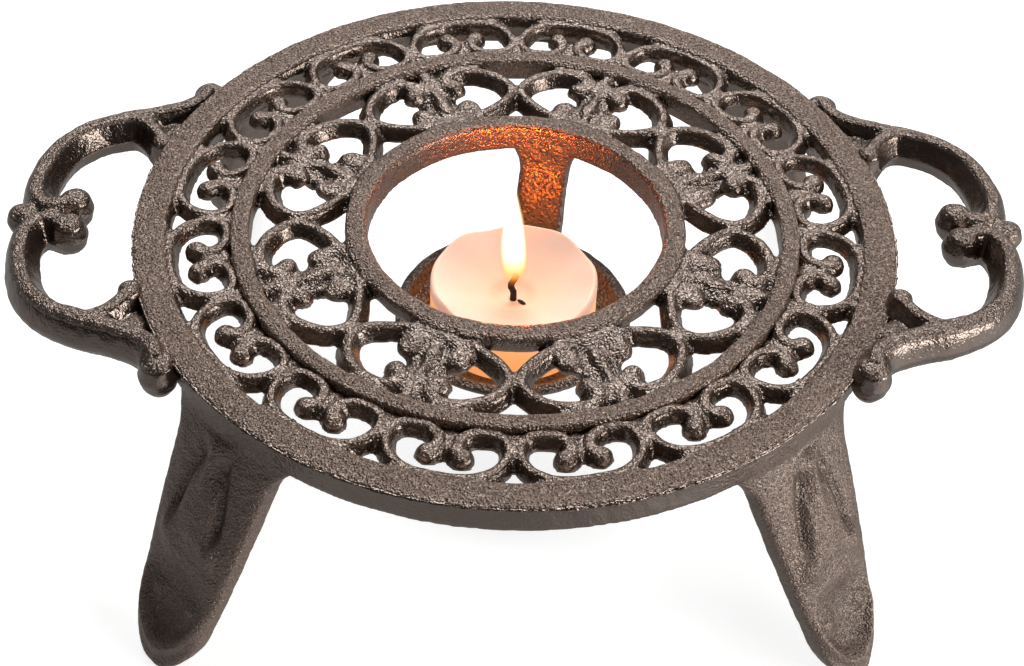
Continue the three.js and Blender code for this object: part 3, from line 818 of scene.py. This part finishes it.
# Painted shade in each toe's scoop, one strength for each leg: rear right, rear left, front left,
# front right
LEG_SCOOP_SHADE = (0.2, 0.2, 0.32, 0.14)
LEG_TOE_LENGTH = 9 * MM
LEG_INSET = 0.4 * MM
LEG_SPLAY = 24.5 * MM
LEG_BELLY = 1.2 * MM
LEG_FLUSH = 0.7 * MM
LEG_SQUARENESS = 2 / 5
LEG_RELIEF = 1.35
LEG_ROOT_SMOOTH = 0.35
LEG_VOXEL = 0.42 * MM
# Scoop of the toe: half width, depth of its middle below the skirt, half length
TOE_SCOOP = (8.5 * MM, 37 * MM, 10 * MM)
leg_iron = iron_finish(
    "cast_iron_leg", (0.012, 0.007, 0.005), (0.075, 0.047, 0.035), (0.1, 0.066, 0.049),
    0.9 * MM, 1.15, (0.34, 0.44))


def bell(value, width):
    """Bell curve: 1 at 0, falling as exp(-(value / width)^2)."""
    return np.exp(-(value / width) ** 2)


def leaf_relief(across, down, half_width):
    """How far the leg's face stands out, in metres: a pointed leaf, domed between two grooves that
    part from its tip; a boss where each groove ends; below it an oval scoop with a raised lip."""
    side, d, half = np.abs(across) / MM, down / MM, half_width / MM
    leaf = 6.0 * np.sin(np.clip((d + 1.5) / 23, 0, 1) * math.pi / 2) ** 0.8
    upper = ramp(d, -1.5, 2) * (1 - ramp(d, 19, 26))
    face = 0.9 * (1 - ramp(side, leaf - 2.2, leaf)) * upper
    face -= 1.1 * bell(side - leaf - 0.3, 0.9) * ramp(d, -1, 3) * (1 - ramp(d, 17, 23))
    face += 0.3 * bell(side, 0.9) * upper
    face += 1.2 * bell(np.hypot(side - 6.6, (d - 23) / 1.4), 2.0)
    face += 0.6 * bell(np.hypot(side / 1.8, d - 26), 4.0)
    round_scoop = np.hypot(side / np.maximum(half - 2.0, 1), (d - 36.5) / 10)
    face -= 1.2 * np.sqrt(np.clip(1 - round_scoop ** 2, 0, 1)) * ramp(d, 27, 36)
    face += 0.9 * bell((round_scoop - 1.1) * 7, 1.1) * ramp(d, 33, 40)
    face += 0.9 * bell(np.hypot(side - 5.0, (d - 37) / 1.5), 1.7)
    return LEG_RELIEF * face * MM


def leg_piece(name, degrees, toe_width, scoop_shade, seed):
    """One leg along its direction: rounded-rectangle sections stacked from rim to toe. At depth d
    the outer face lies at head + splay * d / drop from the middle, bent to the rim's curve; the
    width tapers from root fillet to neck to toe, and closes as a quarter circle at the toe."""
    skirt_under = plate_low.z
    z = np.concatenate([
        np.linspace(plate_top - 1.4 * MM, LEG_TOE_LENGTH, 150, endpoint=False),
        LEG_TOE_LENGTH * (1 - np.sin(np.linspace(0, math.pi / 2, 40)))])
    drop = skirt_under - z
    outer = rim_radius - LEG_INSET + LEG_SPLAY * np.clip(drop / skirt_under, 0, 1)
    root = np.clip(1 - drop / LEG_ROOT, 0, 1) ** 2
    taper = np.clip((drop - LEG_ROOT) / (skirt_under - LEG_ROOT), 0, 1)
    width = LEG_NECK_WIDTH + (toe_width - LEG_NECK_WIDTH) * taper
    width = width + LEG_BELLY * np.sin(math.pi * taper)
    width = width + (LEG_TOP_WIDTH - LEG_NECK_WIDTH) * root
    toe = np.clip(1 - z / LEG_TOE_LENGTH, 0, 1)
    close = np.sqrt(np.clip(1 - toe ** 2, 0, 1))
    half = (width / 2 * (0.2 + 0.8 * close))[:, None]
    turn = np.linspace(0, 2 * math.pi, 160, endpoint=False)[None, :]
    across = half * np.sign(np.cos(turn)) * np.abs(np.cos(turn)) ** LEG_SQUARENESS
    out = np.sign(np.sin(turn)) * np.abs(np.sin(turn)) ** LEG_SQUARENESS
    relief = leaf_relief(across, drop[:, None] + 0 * across, half) * np.clip(out, 0, 1) ** 2
    thick = LEG_THICKNESS / 2 - 0.9 * MM * (drop[:, None] < 0) * (out < 0)
    at_root = (1 - ramp(drop, -1 * MM, 5 * MM))[:, None]
    flush = LEG_FLUSH * ramp(np.abs(across) / half, 0.6, 1) * at_root
    radius = outer[:, None] - LEG_THICKNESS / 2 + thick * out + relief - flush * np.clip(out, 0, 1)
    reach = np.sqrt(np.maximum(radius ** 2 - across ** 2, 0))
    angle = math.radians(degrees)
    x = reach * math.cos(angle) - across * math.sin(angle)
    y = reach * math.sin(angle) + across * math.cos(angle)
    points = np.stack([x, y, z[:, None] + 0 * x], -1)
    piece = cast_piece(name + "_blade", [grid_part(closed_ends(points))], LEG_VOXEL, 3, seed)
    co = points_of(piece.data)
    co[:, 2] = np.maximum(co[:, 2], 0)
    side = np.abs(co[:, 1] * math.cos(angle) - co[:, 0] * math.sin(angle))
    scoop = np.hypot(side / TOE_SCOOP[0], (skirt_under - co[:, 2] - TOE_SCOOP[1]) / TOE_SCOOP[2])
    # Painted shade: on the faces that look out, the relief mark is lowered over the toe's scoop, so
    # the scoop takes the hollow colour.
    faces_out = normals_of(piece.data) @ np.array([math.cos(angle), math.sin(angle), 0]) > 0.2
    painted_scoop_shade = scoop_shade * (1 - ramp(scoop, 0.5, 1.05)) * faces_out
    mark(piece.data, "relief", np.maximum(marked(piece.data, "relief") - painted_scoop_shade, 0))
    move_points(piece.data, co)
    root_smooth = LEG_ROOT_SMOOTH * ramp(co[:, 2], skirt_under - 6 * MM, skirt_under + 1 * MM)
    mark_ground(piece.data, root_smooth, 0)
    piece.data.materials.append(leg_iron)
    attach(piece, "stand")
    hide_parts(name)


for turn, name in enumerate((
        "leg_rear_right", "leg_rear_left", "leg_front_left", "leg_front_right")):
    leg_piece(name, 45 + 90 * turn, LEG_TOE_WIDTHS[turn], LEG_SCOOP_SHADE[turn], 51 + 2 * turn)

# Dish and arm. A shallow round dish with an upright lip, hung from the collar on one strap-like
# arm at the rear that spreads as it runs into the collar's wall. Cast with the grate.
DISH_WALL = 2.6 * MM
DISH_FLOOR = 2.8 * MM
DISH_SEAT = 19.6 * MM
DISH_BASE = 20 * MM
ARM_ANGLE = math.radians(78)
ARM_WIDTH = 11.6 * MM
ARM_FLARE = 17 * MM
ARM_THICKNESS = 4.6 * MM
ARM_SQUARENESS = 0.5
# Upper part of the arm's line in millimetres: way out from the hole's edge, height over the grate
ARM_LINE = [(3.2, -2.2), (2.3, -4.4), (2.1, -7.2), (1.5, -12), (-1.2, -18.7)]
HOLDER_SMOOTH = 0.45
DISH_VOXEL = 0.5 * MM
dish_low, dish_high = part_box("candle_dish")
dish_radius = dish_high.x
dish_floor = dish_low.z + DISH_FLOOR


def dish_part():
    """Dish turned round Z: flank that slopes out to a short upright lip, lip rounded over, and a
    hollow that slopes in to the seat."""
    inner = dish_radius - DISH_WALL
    depth = dish_high.z - dish_floor
    hollow = smooth_path([
        (inner, dish_high.z), (inner - 1.3 * MM, dish_high.z - 0.4 * depth),
        (DISH_SEAT + 1 * MM, dish_floor + 0.15 * depth), (DISH_SEAT, dish_floor)], 6)
    return turned(np.vstack([
        [(0, dish_low.z), (DISH_BASE, dish_low.z), (dish_radius - 0.3 * MM, dish_high.z - 1.6 * MM),
         (dish_radius, dish_high.z - 0.9 * MM), (dish_radius - 0.4 * MM, dish_high.z - 0.2 * MM),
         (dish_radius - DISH_WALL / 2, dish_high.z)],
        hollow, [(0, dish_floor)]]), 160)


def arm_part():
    """Strap carried down a curve from inside the collar's wall to the dish: oblong sections, wide
    at the top and bent to the collar's circle."""
    line = smooth_path([
        *np.array(ARM_LINE) * MM + [hole_radius, plate_top],
        (dish_radius + 1.2 * MM, dish_high.z), (dish_radius - 1.5 * MM, dish_high.z - 6 * MM)], 12)
    flare = np.clip((line[:, 1] - plate_top + 14 * MM) / (9 * MM), 0, 1) ** 2
    width = ARM_WIDTH + (ARM_FLARE - ARM_WIDTH) * flare
    turn = np.linspace(0, 2 * math.pi, 40, endpoint=False)[None, :]
    side = width[:, None] / 2 * np.sign(np.cos(turn)) * np.abs(np.cos(turn)) ** ARM_SQUARENESS
    thick = ARM_THICKNESS / 2 * np.sign(np.sin(turn)) * np.abs(np.sin(turn)) ** ARM_SQUARENESS
    out = line[:, :1] + thick
    reach = np.sqrt(out ** 2 - side ** 2)
    x = reach * math.cos(ARM_ANGLE) - side * math.sin(ARM_ANGLE)
    y = reach * math.sin(ARM_ANGLE) + side * math.cos(ARM_ANGLE)
    points = np.stack([x, y, line[:, 1:] + 0 * side], -1)
    return grid_part(closed_ends(points))


candle_holder = cast_piece("candle_holder", [dish_part(), arm_part()], DISH_VOXEL, 4, 71)
mark_ground(candle_holder.data, HOLDER_SMOOTH, HOLDER_SMOOTH)
# Painted shade: the dish and arm take a darker copy of the same lacquered iron, so they read darker
# under the same lamps.
holder_iron_darkened = iron_finish(
    "cast_iron_holder_darkened", (0.01, 0.005, 0.003), (0.045, 0.025, 0.016), (0.055, 0.032, 0.021),
    1.3 * MM, 0.7, (0.33, 0.42))
candle_holder.data.materials.append(holder_iron_darkened)
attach(candle_holder, "stand")
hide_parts("candle_dish", "dish_hanger")

# Candle. A short pillar of peach wax with a hollow burnt round the wick, poured in a cup mould.
# The wax glows where the flame's light sinks in.
wax_low, wax_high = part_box("candle_wax")
CANDLE_LIP = 1.2 * MM
MELT_DEPTH = 6.5 * MM
WICK_BORE = 0.9 * MM
# Waver of the rim: share of its rise, waves round the rim, phase
RIM_WAVER = [(0.35, 2, 0.6), (0.35, 5, 2.1), (0.25, 9, 0)]
RIM_RISE = 1.2 * MM
RIM_BULGE = 0.012
# Foot and top of the wall, and the painted glow of the wall where it is seen through the grate
WAX_COLOURS = ((0.8, 0.4, 0.19), (0.74, 0.44, 0.34))
WAX_GLOWS = ((1, 0.4, 0.13), (0.38, 0.31, 0.25))
WALL_GLOW = (1.2, 0.48, 0.16)
GLOW_STRENGTH = 0.75
WAX_ROUGHNESS = 0.5
WAX_SHEEN = 0.3


def wax_part():
    """Wax turned round Z with a wavering rim: base, upright wall, rounded lip, and a bowl whose
    height falls with the way in from the lip to the power 1.4, with a small crater at the wick."""
    radius, base, top = wax_high.x, wax_low.z, wax_high.z
    bowl = radius - CANDLE_LIP
    inward = np.linspace(0, 1, 48)
    bowl_r = bowl + (WICK_BORE - bowl) * inward
    bowl_z = top - 0.2 * MM - (MELT_DEPTH - 0.9 * MM) * (1 - (1 - inward) ** 1.4)
    bowl_z -= 0.7 * MM * np.exp(-((bowl_r / (4.6 * MM)) ** 6))
    profile = np.vstack([
        [(0, base), (radius - 1 * MM, base), (radius - 0.3 * MM, base + 0.3 * MM),
         (radius, base + 1 * MM)],
        np.stack([np.full(12, radius), np.linspace(base + 2 * MM, top - 1.2 * MM, 12)], -1),
        [(radius - 0.12 * MM, top - 0.6 * MM), (radius - 0.5 * MM, top - 0.15 * MM),
         (radius - 0.9 * MM, top)],
        np.stack([bowl_r, bowl_z], -1),
        [(WICK_BORE, bowl_z[-1] - 3 * MM), (0, bowl_z[-1] - 3 * MM)]])
    vertices, quads = turned(profile, 160)
    lean = np.clip((vertices[:, 2] - base) / (top - base), 0, 1) ** 3
    angle = np.arctan2(vertices[:, 1], vertices[:, 0])
    away = np.hypot(vertices[:, 0], vertices[:, 1]) / radius
    waver = sum(size * np.sin(waves * angle + phase) for size, waves, phase in RIM_WAVER)
    vertices[:, 2] += waver * RIM_RISE * lean * away ** 2
    vertices[:, :2] *= (1 + RIM_BULGE * waver * lean * away)[:, None]
    return vertices, quads


wax_body = placed("wax_body", mesh_of("wax_body", [wax_part()]))
wax_points = points_of(wax_body.data)
wax_reach = np.hypot(wax_points[:, 0], wax_points[:, 1])
on_wall = (wax_reach > wax_high.x - 0.6 * MM) & (wax_points[:, 2] < wax_high.z - 2.5 * MM)
mark(wax_body.data, "wall", on_wall)
wax, wax_tree, wax_shader = paint("peach_wax")
wax_place = object_place(wax_tree)
wax_rise = mapped(wax_tree, upright(wax_tree, wax_place), wax_low.z, wax_high.z)
wax_cloud = noise(wax_tree, wax_place, 120, 3.0)
wax_shade = maths(wax_tree, "MULTIPLY_ADD", wax_cloud, 0.25, wax_rise)
wax_glow = mixed(wax_tree, wax_rise, *WAX_GLOWS)
wax_skin = add_node(wax_tree, "ShaderNodeBump", Height=wax_cloud, Distance=0.25 * MM)
# Painted light: the wax's emission stands in for the flame's light glowing through it, stronger on
# the wall.
fill(wax_shader, Base_Color=mixed(wax_tree, wax_shade, *WAX_COLOURS),
     Emission_Color=mixed(wax_tree, stored(wax_tree, "wall"), wax_glow, WALL_GLOW),
     Emission_Strength=GLOW_STRENGTH, Normal=wax_skin.outputs["Normal"], Roughness=WAX_ROUGHNESS,
     Specular_IOR_Level=WAX_SHEEN, Subsurface_Weight=0.8, Subsurface_Radius=(1.0, 0.5, 0.25),
     Subsurface_Scale=5 * MM)
wax_body.data.materials.append(wax)
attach(wax_body, "candle")
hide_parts("candle_wax")

# Wick and its tab. A braided cotton wick, charred black and bent by burning, crimped below in the
# neck of a stamped tinplate disc that sits under the wax.
WICK_RADIUS = 0.75 * MM
CHAR_COLOURS = ((0.006, 0.004, 0.003), (0.06, 0.03, 0.02))
EMBER_COLOUR = (1, 0.16, 0.02)
EMBER_LENGTH = 4 * MM
TIN_COLOURS = ((0.38, 0.37, 0.34), (0.58, 0.57, 0.54))
wick_low, wick_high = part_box("candle_wick")
tab_low, tab_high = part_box("wick_tab")
melt_floor = wax_high.z - MELT_DEPTH


def wick_part():
    """Braid: a round section carried up an S-shaped line, its radius rippled by two sets of
    ridges that wind opposite ways, drawn in to a charred tip."""
    stand = wick_high.z - melt_floor
    line = smooth_path([
        (0, 0, wick_low.z + 1 * MM), (0, 0, melt_floor), (0, 0, melt_floor + 0.25 * stand),
        (-0.6 * MM, 0, melt_floor + 0.5 * stand), (0.4 * MM, 0, melt_floor + 0.8 * stand),
        (0.1 * MM, -0.4 * MM, wick_high.z)], 16)
    turn = np.linspace(0, 2 * math.pi, 24, endpoint=False)[None, :]
    up = line[:, 2:3]
    twist = 2 * math.pi * up / (2.4 * MM)
    ripple = 1 + 0.09 * np.sin(3 * turn + twist) * np.sin(3 * turn - twist)
    tip = np.sqrt(np.clip((wick_high.z - up) / (1.2 * MM), 0, 1))
    radius = WICK_RADIUS * ripple * np.maximum(tip, 0.02)
    points = np.stack([
        line[:, :1] + radius * np.cos(turn), line[:, 1:2] + radius * np.sin(turn),
        up + 0 * turn], -1)
    return grid_part(closed_ends(points))


wick = placed("wick_braid", mesh_of("wick_braid", [wick_part()]))
char, char_tree, char_shader = paint("charred_cotton")
char_place = object_place(char_tree)
char_speck = noise(char_tree, char_place, 2500, 3.0)
ember = mapped(char_tree, upright(char_tree, char_place), wick_high.z - EMBER_LENGTH, wick_high.z)
fill(char_shader, Base_Color=mixed(char_tree, char_speck, *CHAR_COLOURS),
     Emission_Color=mixed(char_tree, ember, (0, 0, 0), EMBER_COLOUR), Emission_Strength=0.8,
     Roughness=0.9)
wick.data.materials.append(char)
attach(wick, "candle")
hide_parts("candle_wick")

crumb_part = lump(
    2.6 * MM, math.radians(-42), 1.25 * MM, 0.5 * MM, 0.4 * MM, melt_floor + 0.55 * MM)
crumb = placed("wick_crumb", mesh_of("wick_crumb", [crumb_part]))
crumb.data.materials.append(char)
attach(crumb, "candle")
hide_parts("candle_wick")

tab_radius = tab_high.x
tab_profile = [
    (0.9 * MM, tab_low.z), (tab_radius - 0.2 * MM, tab_low.z), (tab_radius, tab_low.z + 0.2 * MM),
    (tab_radius - 0.2 * MM, tab_low.z + 0.45 * MM), (2.6 * MM, tab_low.z + 0.55 * MM),
    (2.1 * MM, tab_low.z + 0.9 * MM), (1.9 * MM, tab_high.z - 0.3 * MM), (1.6 * MM, tab_high.z),
    (0.9 * MM, tab_high.z)]
tab = placed("tab_disc", mesh_of("tab_disc", [turned(tab_profile, 64, looped=True)]))
tinplate, tin_tree, tin_shader = paint("stamped_tinplate")
tin_streak = noise(tin_tree, object_place(tin_tree), 1800, 2.0)
fill(tin_shader, Base_Color=mixed(tin_tree, tin_streak, *TIN_COLOURS), Metallic=1.0,
     Roughness=mapped(tin_tree, tin_streak, low=0.25, high=0.5))
tab.data.materials.append(tinplate)
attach(tab, "candle")
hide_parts("wick_tab")

# Flame. A slim teardrop of burning vapour over the wick, white at heart and amber at its edge,
# clear at the foot. It lights the arm, the collar and the wax.
FLAME_WIDTH = 6.3 * MM
flame_foot = wick_high.z - 3.4 * MM
flame_tip = plate_top + 8 * MM
# Share of the half width, share of the height
FLAME_HALF = [
    (0, 0), (0.6, 0.025), (0.92, 0.11), (1, 0.24), (0.96, 0.42), (0.86, 0.57), (0.68, 0.71),
    (0.45, 0.82), (0.19, 0.93), (0, 1)]
# Shells from the mantle to the heart: share of the width, density, brightness, colour of the top
FLAME_SHELLS = [
    (1, 0.12, 1.2, (1, 0.62, 0.24)), (0.92, 0.25, 1.5, (1, 0.8, 0.46)),
    (0.83, 0.5, 1.9, (1, 0.93, 0.76)), (0.72, 0.92, 2.4, (1, 0.98, 0.93))]
SHELL_FOOT_STEP = 0.4 * MM
SHELL_TIP_STEP = 0.8 * MM
FOOT_COLOUR = (1, 0.4, 0.05)
FLAME_LEAN = 0.8 * MM


def flame_part(width, foot, tip):
    """Teardrop turned round Z on a smooth curve through FLAME_HALF, leaning aside near its tip."""
    profile = smooth_path(FLAME_HALF, 8) * [width / 2, tip - foot] + [0, foot]
    profile[:, 0] = np.maximum(profile[:, 0], 0)
    vertices, quads = turned(profile, 48)
    rise = (vertices[:, 2] - foot) / (tip - foot)
    vertices[:, 0] -= FLAME_LEAN * np.sin(math.pi * rise) * rise
    return vertices, quads


def flame_piece(name, width, foot, tip, top_colour, alpha, strength):
    """One shell of the flame: its colour runs up the height, and it clears towards the foot."""
    shell = placed(name, mesh_of(name, [flame_part(width, foot, tip)]))
    fire, tree, shader = paint(name + "_glow")
    rise = mapped(tree, upright(tree, object_place(tree)), foot, tip)
    heat = mapped(tree, rise, 0.05, 0.5, soft=True)
    fill(shader, Base_Color=(0, 0, 0, 1), Specular_IOR_Level=0,
         Emission_Color=mixed(tree, heat, FOOT_COLOUR, top_colour), Emission_Strength=strength,
         Alpha=mapped(tree, rise, 0.0, 0.3, high=alpha, soft=True))
    shell.data.materials.append(fire)
    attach(shell, "candle")


for shell, (width, alpha, strength, top_colour) in enumerate(FLAME_SHELLS):
    flame_piece(
        "flame_shell_%d" % shell, FLAME_WIDTH * width, flame_foot + shell * SHELL_FOOT_STEP,
        flame_tip - shell * SHELL_TIP_STEP, top_colour, alpha, strength)

# A standing flame shines sideways more than down: four small lamps round it face outwards and a
# little up, at the right, rear, left and front, the rear one strongest.
LAMP_TILT = math.radians(2)
LAMP_SPREAD = math.radians(105)
LAMP_SIDES = (4 * MM, 8 * MM)
LAMP_OUT = 3.5 * MM
LAMP_DROP = 4.5 * MM
LAMP_COLOUR = (1, 0.18, 0.012)
LAMP_POWERS = (0.0025, 0.009, 0.0025, 0.0025)
for quarter, power in enumerate(LAMP_POWERS):
    data = bpy.data.lights.new("flame_lamp_%d" % quarter, "AREA")
    data.shape = "RECTANGLE"
    data.size, data.size_y = LAMP_SIDES
    data.energy = power
    data.spread = LAMP_SPREAD
    data.color = LAMP_COLOUR
    lamp = placed("flame_lamp_%d" % quarter, data)
    heading = math.pi / 2 * quarter
    outward = Vector((math.cos(heading), math.sin(heading), math.tan(LAMP_TILT)))
    lamp.location = (
        LAMP_OUT * math.cos(heading), LAMP_OUT * math.sin(heading), plate_top - LAMP_DROP)
    lamp.rotation_mode = "QUATERNION"
    lamp.rotation_quaternion = outward.to_track_quat("-Z", "Y")
    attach(lamp, "candle")
